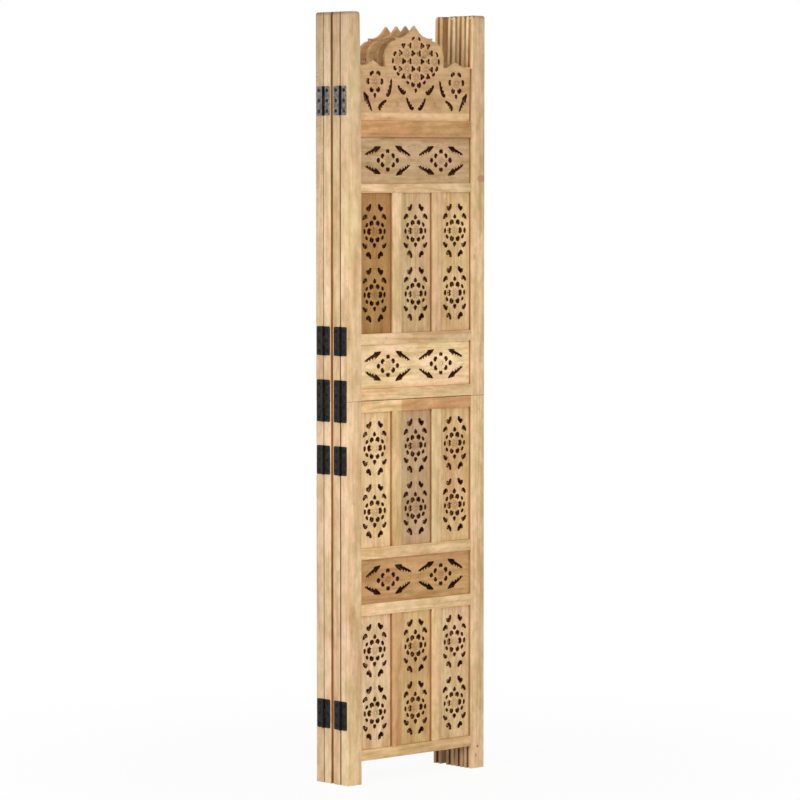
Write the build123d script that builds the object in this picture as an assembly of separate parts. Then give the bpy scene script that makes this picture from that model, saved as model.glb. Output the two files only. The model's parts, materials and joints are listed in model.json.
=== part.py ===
# Carved jali screen: four identical panels, hinged edge to edge in a zigzag and folded almost flat.
# Each panel is a lower and an upper framed section, joined by loose tenons in the stiles.
# Frame: X across a panel, Y through the folded stack (panel 1 in front, at -Y), Z up from the floor.
import os
from itertools import accumulate

from build123d import *

# Panel frame
PANEL_WIDTH = 400.0
PANEL_THICKNESS = 22.0
STILE_WIDTH = 39.0
STILE_TOP_RADIUS = 6.0
HORN_TAPER = 5.0  # how much narrower a stile is at its top than at the crest rail
MUNTIN_WIDTH = 26.0
GROOVE_DEPTH = 6.0  # down the inner edge of each stile, for the boards
BOARD_THICKNESS = 7.0
GROOVE_END_PLAY = 0.3  # between the edge of a board and the bottom of its groove

# Heights of the lower section's bands, from the floor up
LEG_HEIGHT = 50.0
FOOT_RAIL = 23.0
LOW_UPRIGHTS = 289.0
LOW_RAIL = 25.0
LOW_CROSS = 96.0
WAIST_RAIL = 24.0
MIDDLE_UPRIGHTS = 291.0
JOINT_RAIL = 25.0  # one each side of the joint between the sections

# Heights of the upper section's bands, from the section joint up
MIDDLE_CROSS = 95.0
CHEST_RAIL = 23.0
HIGH_UPRIGHTS = 300.0
NECK_RAIL = 20.0
HIGH_CROSS = 99.0
CREST_RAIL = 35.0
STILE_HORN = 230.0  # stile that stands above the crest rail

# Loose tenon in each stile across the section joint
TENON_WIDTH = 16.0
TENON_THICKNESS = 8.0
TENON_LENGTH = 50.0
TENON_PLAY = 0.2

# Crest outline: heights above the crest rail, offsets from the panel's centre but for the side arches
CREST_HEIGHT = 204.0
CREST_END_HEIGHT = 118.0
SIDE_ARCH_INSET = 42.0  # from the stile to the tip of the arch
SIDE_ARCH_HEIGHT = 128.0
SIDE_ARCH_HALF_WIDTH = 21.0
VALLEY_HEIGHT = 115.5
VALLEY_WIDTH = 13.0  # level stretch between a side arch and the lobe
LOBE_SPRING_HEIGHT = 128.0
LOBE_SHOULDER_OFFSET = 52.0
LOBE_SHOULDER_HEIGHT = 172.0
LOBE_BULGE = 12.0  # how far the lobe's corner stands outside a straight line
OGEE_STEP = 6.0
OGEE_CROWN_HALF = 12.0
OGEE_CROWN_RISE = 13.0
OGEE_SWEEP = 5.0  # how far the ogee dips under a straight line

# Piercings of the upright boards: two rosettes of pointed petals, one above the other
UPRIGHT_ROSETTE_PITCH = 136.0
UPRIGHT_RING_RADIUS = 20.0
PETAL_RADIUS = 8.0
PETALS_PER_ROSETTE = 6

# Piercings of the cross boards: two diamonds of four leaf slots, each from its point to its stalk end
LEAF_WIDTH = 9.0
CROSS_DIAMOND_OFFSET = 78.0
CROSS_LEAF = ((65.0, 15.0), (23.0, 31.0))

# Piercings of the crest: a ring of petals in the central lobe, and leaf slots below it
CREST_ROSETTE_HEIGHT = 128.0
CREST_RING_RADIUS = 20.0
LOBE_LEAVES = (
    ((52.0, 73.0), (35.0, 57.0)),
    ((12.0, 22.0), (27.0, 46.0)),
    ((70.0, 86.0), (83.0, 51.0)),
)

# Leaf slots under the side arches, their offsets measured inwards from the stile
ARCH_LEAVES = (
    ((55.0, 24.0), (72.0, 42.0)),
    ((32.0, 21.0), (10.0, 59.0)),
)

# Butt hinges, five to a fold line, screwed flat on the stile edges
SHORT_HINGE = 62.0
LONG_HINGE = 90.0
HINGE_ABOVE_FLOOR = 119.0  # clear height under the lowest hinge
HINGE_BELOW_JOINT = 51.0  # clear height between the long hinge and the one below it
HINGE_ABOVE_JOINT = 52.0  # clear height between the long hinge and the one above it
HINGE_BELOW_TOP = 157.0  # clear height over the highest hinge
LEAF_PLATE_WIDTH = 17.0
LEAF_PLATE_THICKNESS = 1.4
KNUCKLE_RADIUS = 2.9
KNUCKLE_SIDES = 6
PIN_SIDES = 6
KNUCKLE_COUNT = 3
KNUCKLE_END_PLAY = 0.3
KNUCKLE_CLEARANCE = 0.3  # from the stile edges, and from the other leaf's plate
PIN_RADIUS = 1.45
PIN_CLEARANCE = 0.05
PIN_END = 0.5  # how far a pin stands out of its hinge, each end

# Gaps between the folded panels at their hinges, front to back, and how many degrees open each fold stands
FOLD_GAPS = (3.0, 7.0, 1.5)
FOLD_OPENINGS = (0.5, 0.0, 2.4)

LOWER_BANDS = (
    ("leg", LEG_HEIGHT),
    ("rail", FOOT_RAIL),
    ("uprights", LOW_UPRIGHTS),
    ("rail", LOW_RAIL),
    ("cross", LOW_CROSS),
    ("rail", WAIST_RAIL),
    ("uprights", MIDDLE_UPRIGHTS),
    ("rail", JOINT_RAIL),
)
UPPER_BANDS = (
    ("rail", JOINT_RAIL),
    ("cross", MIDDLE_CROSS),
    ("rail", CHEST_RAIL),
    ("uprights", HIGH_UPRIGHTS),
    ("rail", NECK_RAIL),
    ("cross", HIGH_CROSS),
    ("rail", CREST_RAIL),
    ("horn", STILE_HORN),
)

SECTION_JOINT = sum(height for kind, height in LOWER_BANDS)
PANEL_HEIGHT = SECTION_JOINT + sum(height for kind, height in UPPER_BANDS)
OPENING_WIDTH = PANEL_WIDTH - 2 * STILE_WIDTH
TONGUE_REACH = GROOVE_DEPTH - GROOVE_END_PLAY
UPRIGHT_WIDTH = (OPENING_WIDTH - 2 * MUNTIN_WIDTH) / 3
HINGE_PITCH = (LONG_HINGE + SHORT_HINGE) / 2
HINGE_HEIGHTS = (
    (HINGE_ABOVE_FLOOR + SHORT_HINGE / 2, SHORT_HINGE),
    (SECTION_JOINT - HINGE_PITCH - HINGE_BELOW_JOINT, SHORT_HINGE),
    (SECTION_JOINT, LONG_HINGE),
    (SECTION_JOINT + HINGE_PITCH + HINGE_ABOVE_JOINT, SHORT_HINGE),
    (PANEL_HEIGHT - HINGE_BELOW_TOP - SHORT_HINGE / 2, SHORT_HINGE),
)


def band_levels(base, bands):
    """The kind, bottom and top of each band stacked up from the base."""
    heights = [height for kind, height in bands]
    tops = [base + top for top in accumulate(heights)]
    return [(kind, top - height, top) for (kind, height), top in zip(bands, tops)]


LOWER_LEVELS = band_levels(0.0, LOWER_BANDS)
UPPER_LEVELS = band_levels(SECTION_JOINT, UPPER_BANDS)


def standing(outline, thickness):
    """A flat shape drawn in X and height, given an even thickness about the panel's middle plane."""
    return extrude(Plane.XZ * outline, amount=thickness / 2, both=True)


def upright_prism(outline, bottom, top):
    """A plan section carried straight up from the bottom to the top."""
    return Pos(0, 0, bottom) * extrude(outline, amount=top - bottom)


def mirror_pair(shape):
    """A shape and its mirror image across the panel's centre line."""
    return shape + mirror(shape, about=Plane.YZ)


# ---- Frame members ----------------------------------------------------------------------------


def grooved_and_mortised(side, blank):
    """A stile's blank with the groove down its inner edge and the mortise where the sections meet."""
    groove = Pos(side * OPENING_WIDTH / 2, 0) * Rectangle(2 * GROOVE_DEPTH, BOARD_THICKNESS)
    play = 2 * TENON_PLAY
    mortise = Box(TENON_WIDTH + play, TENON_THICKNESS + play, TENON_LENGTH + play)
    return blank - upright_prism(groove, 0, PANEL_HEIGHT) - Pos(tenon_x(side), 0, SECTION_JOINT) * mortise


def lower_stile(side):
    """A lower stile, from the floor to the section joint."""
    centre = side * (PANEL_WIDTH - STILE_WIDTH) / 2
    blank = upright_prism(Pos(centre, 0) * Rectangle(STILE_WIDTH, PANEL_THICKNESS), 0, SECTION_JOINT)
    return grooved_and_mortised(side, blank)


def upper_stile(side):
    """An upper stile; its horn narrows from the crest rail up and has a rounded outer corner."""
    inner, outer = OPENING_WIDTH / 2, PANEL_WIDTH / 2
    horn_foot = PANEL_HEIGHT - STILE_HORN
    outline = Polygon(
        (inner, SECTION_JOINT),
        (outer, SECTION_JOINT),
        (outer, PANEL_HEIGHT),
        (inner + HORN_TAPER, PANEL_HEIGHT),
        (inner, horn_foot),
        align=None,
    )
    outline = fillet(outline.vertices().group_by(Axis.Y)[-1].sort_by(Axis.X)[-1], STILE_TOP_RADIUS)
    if side < 0:
        outline = mirror(outline, about=Plane.YZ)
    return grooved_and_mortised(side, standing(outline, PANEL_THICKNESS))


def tenon_x(side):
    """The middle of the solid wood between a stile's groove and its outer edge."""
    return side * (PANEL_WIDTH / 2 - (STILE_WIDTH - GROOVE_DEPTH) / 2)


def loose_tenon(side):
    """The loose tenon that joins a lower stile to the upper one."""
    return Pos(tenon_x(side), 0, SECTION_JOINT) * Box(TENON_WIDTH, TENON_THICKNESS, TENON_LENGTH)


def rail(bottom, top):
    """A rail between the stiles, flush with them."""
    return upright_prism(Rectangle(OPENING_WIDTH, PANEL_THICKNESS), bottom, top)


def muntins(bottom, top):
    """The two narrow uprights that part the three boards of a zone."""
    offset = (UPRIGHT_WIDTH + MUNTIN_WIDTH) / 2
    plan = Rectangle(MUNTIN_WIDTH, PANEL_THICKNESS)
    return [upright_prism(Pos(side * offset, 0) * plan, bottom, top) for side in (-1, 1)]


# ---- Pierced boards ---------------------------------------------------------------------------


def petal_ring(radius):
    """Pointed petals in a ring, each with its point towards the middle."""
    petal = RegularPolygon(PETAL_RADIUS, 3, rotation=180)
    return Sketch() + [place * petal for place in PolarLocations(radius, PETALS_PER_ROSETTE)]


def leaf_slot(point, stalk):
    """A slot that widens from its point to its stalk end."""
    spine = Vector(*stalk) - Vector(*point)
    across = Vector(-spine.Y, spine.X).normalized() * (LEAF_WIDTH / 2)
    return make_face(Polyline(Vector(*point), Vector(*stalk) + across, Vector(*stalk) - across, close=True))


def upright_board(bottom, top, column):
    """A narrow pierced board; column is -1, 0 or 1 across the panel."""
    tongue = TONGUE_REACH if column else 0.0
    plank = Pos(column * tongue / 2, 0) * Rectangle(UPRIGHT_WIDTH + tongue, top - bottom)
    for side in (-1, 1):
        plank -= Pos(0, side * UPRIGHT_ROSETTE_PITCH / 2) * petal_ring(UPRIGHT_RING_RADIUS)
    place = Pos(column * (UPRIGHT_WIDTH + MUNTIN_WIDTH), 0, (bottom + top) / 2)
    return place * standing(plank, BOARD_THICKNESS)


def cross_board(bottom, top):
    """The long pierced board, its ends in the stile grooves."""
    leaf = leaf_slot(*CROSS_LEAF)
    diamond = mirror_pair(leaf + mirror(leaf, about=Plane.XZ))
    plank = Rectangle(OPENING_WIDTH + 2 * TONGUE_REACH, top - bottom)
    for side in (-1, 1):
        plank -= Pos(side * CROSS_DIAMOND_OFFSET, 0) * diamond
    return Pos(0, 0, (bottom + top) / 2) * standing(plank, BOARD_THICKNESS)


def crest_outline():
    """The crest: a tall lobe with an ogee point between two small pointed arches."""
    end = OPENING_WIDTH / 2 + TONGUE_REACH
    arch_middle = OPENING_WIDTH / 2 - SIDE_ARCH_INSET
    arch_foot = (arch_middle + SIDE_ARCH_HALF_WIDTH, CREST_END_HEIGHT)
    arch_tip = (arch_middle, SIDE_ARCH_HEIGHT)
    valley = (arch_middle - SIDE_ARCH_HALF_WIDTH, VALLEY_HEIGHT)
    lobe_foot = (arch_middle - SIDE_ARCH_HALF_WIDTH - VALLEY_WIDTH, VALLEY_HEIGHT)
    spring = (arch_middle - SIDE_ARCH_HALF_WIDTH - VALLEY_WIDTH, LOBE_SPRING_HEIGHT)
    shoulder = (LOBE_SHOULDER_OFFSET, LOBE_SHOULDER_HEIGHT)
    ogee_foot = (LOBE_SHOULDER_OFFSET, LOBE_SHOULDER_HEIGHT + OGEE_STEP)
    crown = (OGEE_CROWN_HALF, CREST_HEIGHT - OGEE_CROWN_RISE)
    half = [
        Polyline((0, 0), (end, 0), (end, CREST_END_HEIGHT), arch_foot, arch_tip),
        Polyline(arch_tip, valley, lobe_foot, spring),
        SagittaArc(spring, shoulder, -LOBE_BULGE),
        Line(shoulder, ogee_foot),
        SagittaArc(ogee_foot, crown, OGEE_SWEEP),
        Line(crown, (0, CREST_HEIGHT)),
    ]
    outline = Curve() + half
    return make_face(Curve() + half + mirror(outline, about=Plane.YZ).edges())


def crest(bottom):
    """The pierced crest board standing on the crest rail."""
    lobe_leaves = Sketch() + [leaf_slot(*leaf) for leaf in LOBE_LEAVES]
    arch_leaves = Sketch() + [leaf_slot(*leaf) for leaf in ARCH_LEAVES]
    arch_leaves = Pos(OPENING_WIDTH / 2, 0) * mirror(arch_leaves, about=Plane.YZ)
    board = crest_outline() - mirror_pair(lobe_leaves) - mirror_pair(arch_leaves)
    board -= Pos(0, CREST_ROSETTE_HEIGHT) * petal_ring(CREST_RING_RADIUS)
    return Pos(0, 0, bottom) * standing(board, BOARD_THICKNESS)


# ---- One panel --------------------------------------------------------------------------------


def bands_of(levels, kind):
    """The bottom and top of every band of one kind."""
    return [(bottom, top) for band, bottom, top in levels if band == kind]


def panel_nodes():
    """Every node of one panel, drawn about the panel's own middle plane."""
    levels = LOWER_LEVELS + UPPER_LEVELS
    nodes = {}
    for name, side in (("left", -1), ("right", 1)):
        nodes[f"upper_{name}_stile"] = [upper_stile(side)]
        nodes[f"lower_{name}_stile"] = [lower_stile(side)]
    nodes["upper_rails"] = [rail(*band) for band in bands_of(UPPER_LEVELS, "rail")]
    nodes["lower_rails"] = [rail(*band) for band in bands_of(LOWER_LEVELS, "rail")]
    uprights = bands_of(levels, "uprights")
    nodes["muntins"] = [piece for band in uprights for piece in muntins(*band)]
    nodes["upright_jalis"] = [upright_board(*band, column) for band in uprights for column in (-1, 0, 1)]
    nodes["cross_jalis"] = [cross_board(*band) for band in bands_of(levels, "cross")]
    nodes["crest"] = [crest(bottom) for bottom, top in bands_of(UPPER_LEVELS, "horn")]
    nodes["section_tenons"] = [loose_tenon(side) for side in (-1, 1)]
    return nodes


# ---- Hinges -----------------------------------------------------------------------------------


def hinge_leaf(direction, height, own_knuckles):
    """A rolled leaf about an axis at the origin; its plate lies towards direction along Y."""
    stile_edge = -(KNUCKLE_RADIUS + KNUCKLE_CLEARANCE)
    plate_start = KNUCKLE_RADIUS + KNUCKLE_CLEARANCE
    plate_x = stile_edge + LEAF_PLATE_THICKNESS / 2
    plate = Pos(plate_x, direction * (plate_start + LEAF_PLATE_WIDTH / 2)) * Rectangle(
        LEAF_PLATE_THICKNESS, LEAF_PLATE_WIDTH
    )
    neck = Pos(plate_x, direction * plate_start / 2) * Rectangle(LEAF_PLATE_THICKNESS, plate_start)
    barrel = RegularPolygon(KNUCKLE_RADIUS, KNUCKLE_SIDES)
    rolled = make_hull(neck.edges() + barrel.edges())
    bore = RegularPolygon(PIN_RADIUS + PIN_CLEARANCE, PIN_SIDES, major_radius=False)
    pitch = height / KNUCKLE_COUNT
    leaf = upright_prism(plate, -height / 2, height / 2)
    for knuckle in own_knuckles:
        bottom = -height / 2 + knuckle * pitch + KNUCKLE_END_PLAY / 2
        leaf += upright_prism(rolled - bore, bottom, bottom + pitch - KNUCKLE_END_PLAY)
    return leaf


def hinge_pin(height):
    """The pin through all of a hinge's knuckles."""
    reach = height / 2 + PIN_END
    return upright_prism(RegularPolygon(PIN_RADIUS, PIN_SIDES), -reach, reach)


def fold_nodes(fold, side, line, opened):
    """The hinges of one fold line, as it stands for its front panel and as turned for its rear one."""
    turn = Rot(0, 0, 0 if side > 0 else 180)
    front_leaves, rear_leaves, pins = [], [], []
    for z, height in HINGE_HEIGHTS:
        level = Pos(0, 0, z) * turn
        front_leaves.append(line * level * hinge_leaf(-side, height, range(0, KNUCKLE_COUNT, 2)))
        rear_leaves.append(opened * level * hinge_leaf(side, height, range(1, KNUCKLE_COUNT, 2)))
        pins.append(line * level * hinge_pin(height))
    return {
        f"fold_{fold}_{fold + 1}_front_leaves": front_leaves,
        f"fold_{fold}_{fold + 1}_rear_leaves": rear_leaves,
        f"fold_{fold}_{fold + 1}_pins": pins,
    }


# ---- The folded screen ------------------------------------------------------------------------


def fold_line(number, place):
    """The fold line behind a panel and that line turned by its opening: on the left behind odd panels."""
    side = -1 if number % 2 else 1
    reach = side * (PANEL_WIDTH / 2 + KNUCKLE_RADIUS + KNUCKLE_CLEARANCE)
    step = (PANEL_THICKNESS + FOLD_GAPS[number - 1]) / 2
    line = place * Pos(reach, step, 0)
    opened = line * Rot(0, 0, -side * FOLD_OPENINGS[number - 1])
    return side, line, opened, opened * Pos(-reach, step, 0)


def rear_of(places):
    """How far back the rearmost corner of any panel is."""
    plans = [place * Rectangle(PANEL_WIDTH, PANEL_THICKNESS) for place in places]
    return max(corner.Y for plan in plans for corner in plan.vertices())


def panel_places(first):
    """Where the middle of each panel stands, from the first one back."""
    places = [first]
    for number in range(1, len(FOLD_GAPS) + 1):
        places.append(fold_line(number, places[-1])[-1])
    return places


def screen_nodes():
    """Every node of the folded screen, its outline centred about the origin."""
    one_panel = panel_nodes()
    nodes = {}
    middle = (rear_of(panel_places(Pos(0, 0, 0))) - PANEL_THICKNESS / 2) / 2
    for number, place in enumerate(panel_places(Pos(0, -middle, 0)), start=1):
        for name, pieces in one_panel.items():
            nodes[f"panel_{number}_{name}"] = [place * piece for piece in pieces]
        if number <= len(FOLD_GAPS):
            side, line, opened, following = fold_line(number, place)
            nodes.update(fold_nodes(number, side, line, opened))
    return nodes


os.makedirs("parts", exist_ok=True)
for node, pieces in screen_nodes().items():
    solids = [solid for piece in pieces for solid in piece.solids()]
    export_step(Compound(label=node, children=solids), f"parts/{node}.step")
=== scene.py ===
import json
import math
import random

import bmesh
import bpy
from mathutils import Matrix, Vector

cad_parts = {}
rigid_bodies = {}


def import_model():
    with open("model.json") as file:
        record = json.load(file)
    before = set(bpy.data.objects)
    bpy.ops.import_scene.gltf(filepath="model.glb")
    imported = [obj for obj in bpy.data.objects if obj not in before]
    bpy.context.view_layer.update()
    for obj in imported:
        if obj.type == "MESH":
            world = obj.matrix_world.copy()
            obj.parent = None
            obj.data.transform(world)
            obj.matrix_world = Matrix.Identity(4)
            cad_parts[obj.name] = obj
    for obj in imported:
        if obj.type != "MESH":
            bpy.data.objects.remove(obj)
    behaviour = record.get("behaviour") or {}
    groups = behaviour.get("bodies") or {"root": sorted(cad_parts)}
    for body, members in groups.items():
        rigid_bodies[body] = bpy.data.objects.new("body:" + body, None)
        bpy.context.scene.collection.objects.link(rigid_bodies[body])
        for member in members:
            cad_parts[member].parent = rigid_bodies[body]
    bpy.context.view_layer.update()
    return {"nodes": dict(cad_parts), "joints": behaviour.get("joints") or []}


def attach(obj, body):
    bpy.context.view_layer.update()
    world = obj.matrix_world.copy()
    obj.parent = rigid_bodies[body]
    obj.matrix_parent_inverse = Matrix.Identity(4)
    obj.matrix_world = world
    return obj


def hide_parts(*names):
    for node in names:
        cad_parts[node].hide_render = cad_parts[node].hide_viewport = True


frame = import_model()

MM = 0.001
PANELS = (1, 2, 3, 4)
SMOOTH_BELOW = math.radians(38)
FLAT = math.radians(0.5)  # faces that meet at less than this are one face
HAIR = 0.1 * MM
SQUARELY = 0.9  # a face whose normal reaches this far along an axis looks along it
SHARP_TIMBER = 0.3  # in radians, the edges of a timber that are rounded
SHARP_STEEL = 0.9  # in radians, the edges of a hinge leaf that are rounded

# ---- Colours (linear) ----

STRAW = (0.80, 0.59, 0.355)
STRAW_DEEP = (0.56, 0.345, 0.16)
PORE_BROWN = (0.17, 0.085, 0.035)
KNOT_BROWN = (0.33, 0.15, 0.075)
SAW_BROWN = (0.36, 0.22, 0.11)
STEEL_BLACK = (0.0135, 0.014, 0.0135)
STEEL_BROWN = (0.036, 0.029, 0.027)
STEEL_RUB = (0.075, 0.058, 0.050)
WHITE = (1.0, 1.0, 1.0)

# Shades that multiply the wood's own colour; every timber is cut from its own plank
SHADES = {
    "straw": WHITE,
    "cream": (1.04, 1.05, 1.10),
    "honey": (0.96, 0.92, 0.82),
    "blush": (1.00, 0.92, 0.86),
    "fawn": (0.91, 0.85, 0.83),
    "rosy": (0.86, 0.70, 0.58),
    "russet": (0.80, 0.64, 0.52),
    "pale": (1.10, 1.10, 1.08),
    "ivory": (1.21, 1.27, 1.33),
    "amber": (0.97, 0.79, 0.65),
    "tan": (0.78, 0.66, 0.52),
    "toast": (0.56, 0.43, 0.27),
    "dun": (0.84, 0.83, 0.80),
    "sage": (0.96, 0.95, 0.86),
    "olive": (0.90, 0.88, 0.72),
    "ashen": (0.74, 0.71, 0.70),
}
RECESS_PAINTED_SHADE = (0.40, 0.29, 0.21)  # painted shade on the sides of the frame where they meet a board, and in the stiles' grooves
PIERCING_PAINTED_SHADE = (0.22, 0.08, 0.035)  # painted shade on the walls of the piercings
SEAM_SHADE = (0.07, 0.045, 0.03)  # painted dark along the seam between the two sections
RELIEF_BASE_PAINTED_SHADE = (0.66, 0.56, 0.50)  # painted shade in the hollows round the raised flowers


def shade(name, light=1.0):
    """A shade by name, lighter or darker all over."""
    return tuple(light * part for part in SHADES[name])


def tinted(colour, tint):
    """One colour multiplied by another."""
    return tuple(part * share for part, share in zip(colour, tint))


def clamped(share):
    """A share kept from 0 to 1."""
    return min(1.0, max(0.0, share))


# ---- Folds ----


def stances():
    """How each panel is turned from the closed stack: by as much as each fold stands open at rest."""
    turned = Matrix.Identity(4)
    found = {"panel_1": turned}
    for joint in frame["joints"]:
        line = Vector(joint["pos_m"])
        swing = Matrix.Rotation(math.radians(-joint["range_deg"][0]), 4, Vector(joint["axis"]))
        turned = Matrix.Translation(line) @ swing @ Matrix.Translation(-line) @ turned
        found[joint["child"]] = turned
    return found


STANCES = stances()


# ---- Meshes ----


def in_scene(name, data):
    """A new object in the scene."""
    obj = bpy.data.objects.new(name, data)
    bpy.context.scene.collection.objects.link(obj)
    return obj


def point_mesh(name, corners, faces=()):
    """A mesh from lists of corners and faces."""
    mesh = bpy.data.meshes.new(name)
    mesh.from_pydata([tuple(corner) for corner in corners], [], faces)
    return mesh


def store(mesh, name, kind, values, domain="POINT"):
    """Gives a mesh a named attribute."""
    key = {"FLOAT_VECTOR": "vector", "FLOAT_COLOR": "color"}.get(kind, "value")
    mesh.attributes.new(name, kind, domain).data.foreach_set(key, values)


class Timberyard:
    """Gathers the timbers of one piece, each with its own grain and shade, into one mesh."""

    def __init__(self):
        self.corners = []
        self.faces = []
        self.grain = []
        self.shades = []

    def add(self, corners, faces, grain, shades):
        """One closed shape: corners, faces, grain place at each corner, shade at each face's corners.

        A shade of four parts ends in how smooth the wood is, from 0 as sawn to 1 as planed.
        """
        start = len(self.corners)
        self.corners += corners
        self.faces += [[start + i for i in face] for face in faces]
        self.grain += grain
        self.shades += shades

    def add_steel(self, corners, faces, tones):
        """One closed shape of steel: corners, faces and one shade for each face."""
        self.add(corners, faces, corners, [[tone] * len(face) for tone, face in zip(tones, faces)])

    def piece(self, name, material):
        """The finished mesh object, smooth but for its sharp edges."""
        mesh = point_mesh(name, self.corners, self.faces)
        store(mesh, "grain", "FLOAT_VECTOR", [part for row in self.grain for part in row])
        colours = []
        for face_shades in self.shades:
            for colour in face_shades:
                colours += [*colour, 1.0] if len(colour) == 3 else colour
        store(mesh, "shade", "FLOAT_COLOR", colours, "CORNER")
        mesh.materials.append(material)
        mesh.shade_smooth()
        mesh.set_sharp_from_angle(angle=SMOOTH_BELOW)
        return in_scene(name, mesh)


def solids_of(node, body):
    """The separate solids of a CAD node as they lie in the closed stack, flat faces joined, lowest first."""
    whole = bmesh.new()
    whole.from_mesh(frame["nodes"][node].data)
    whole.transform(STANCES[body].inverted())
    bmesh.ops.remove_doubles(whole, verts=whole.verts, dist=1e-6)
    left = set(whole.verts)
    solids = []
    while left:
        island = []
        heads = [left.pop()]
        while heads:
            corner = heads.pop()
            island.append(corner)
            for edge in corner.link_edges:
                other = edge.other_vert(corner)
                if other in left:
                    left.remove(other)
                    heads.append(other)
        solid = bmesh.new()
        twins = {corner: solid.verts.new(corner.co) for corner in sorted(island, key=lambda v: v.index)}
        faces = {face for corner in island for face in corner.link_faces}
        for face in sorted(faces, key=lambda f: f.index):
            solid.faces.new([twins[corner] for corner in face.verts])
        bmesh.ops.dissolve_limit(solid, angle_limit=FLAT, verts=solid.verts, edges=solid.edges)
        solids.append(solid)
    whole.free()
    return sorted(solids, key=lambda s: (round(middle_of(s).z, 4), round(middle_of(s).x, 4)))


def box_of(solid):
    """Lowest and highest corner of a bmesh."""
    spans = [[corner.co[axis] for corner in solid.verts] for axis in range(3)]
    return Vector([min(span) for span in spans]), Vector([max(span) for span in spans])


def middle_of(solid):
    """The middle of a bmesh's box."""
    low, high = box_of(solid)
    return (low + high) / 2


def faces_and_corners(solid):
    """A bmesh as plain lists."""
    solid.verts.index_update()
    corners = [corner.co.copy() for corner in solid.verts]
    return corners, [[corner.index for corner in face.verts] for face in solid.faces]


def rounded(solid, edges, offset, segments=2, **options):
    """Rounds some edges of a bmesh."""
    options = {"offset_type": "OFFSET", "profile": 0.5, "affect": "EDGES", **options}
    bmesh.ops.bevel(solid, geom=edges, offset=offset, segments=segments, **options)


def ring(reach, height, around, start=0.0, stretch=1.0):
    """Points of a level ring about Z, longer along X by stretch."""
    turns = [2 * math.pi * (step + start) / around for step in range(around)]
    return [Vector((stretch * reach * math.cos(turn), reach * math.sin(turn), height)) for turn in turns]


def ring_sides(levels, around):
    """The faces between rings that lie one above the other."""
    starts = [(level * around, step) for level in range(levels - 1) for step in range(around)]
    pairs = [(start + step, start + (step + 1) % around) for start, step in starts]
    return [[a, b, b + around, a + around] for a, b in pairs]


def dome(radius, height, stretch, rings, around):
    """Corners and faces of a low dome, longer along X by stretch."""
    leans = [math.pi / 2 * number / rings for number in range(rings)]
    levels = [ring(radius * math.cos(a), height * math.sin(a), around, stretch=stretch) for a in leans]
    corners = [point for level in levels for point in level] + [Vector((0, 0, height))]
    last = (rings - 1) * around
    cap = [[last + step, last + (step + 1) % around, len(corners) - 1] for step in range(around)]
    return corners, ring_sides(rings, around) + cap + [list(range(around))[::-1]]


def barrel(radius, low, high, ease, around):
    """A round bar along Z with eased ends."""
    levels = ((radius - ease, low), (radius, low + ease), (radius, high - ease), (radius - ease, high))
    corners = [point for reach, z in levels for point in ring(reach, z, around, start=0.5)]
    last = (len(levels) - 1) * around
    ends = [list(range(around))[::-1], [last + step for step in range(around)]]
    return corners, ring_sides(len(levels), around) + ends


def plank_place(dice):
    """Where in the tree a timber was cut: an offset that gives it a figure of its own."""
    return Vector((dice.uniform(0, 40), dice.uniform(0, 9), dice.uniform(0, 9)))


def grain_of(axis, corners, place):
    """The grain coordinates of points: along the grain, across it and through the timber."""
    return [Vector((p.x, p.z, p.y) if axis == "x" else (p.z, p.x, p.y)) + place for p in corners]


# ---- Node trees ----


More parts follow.
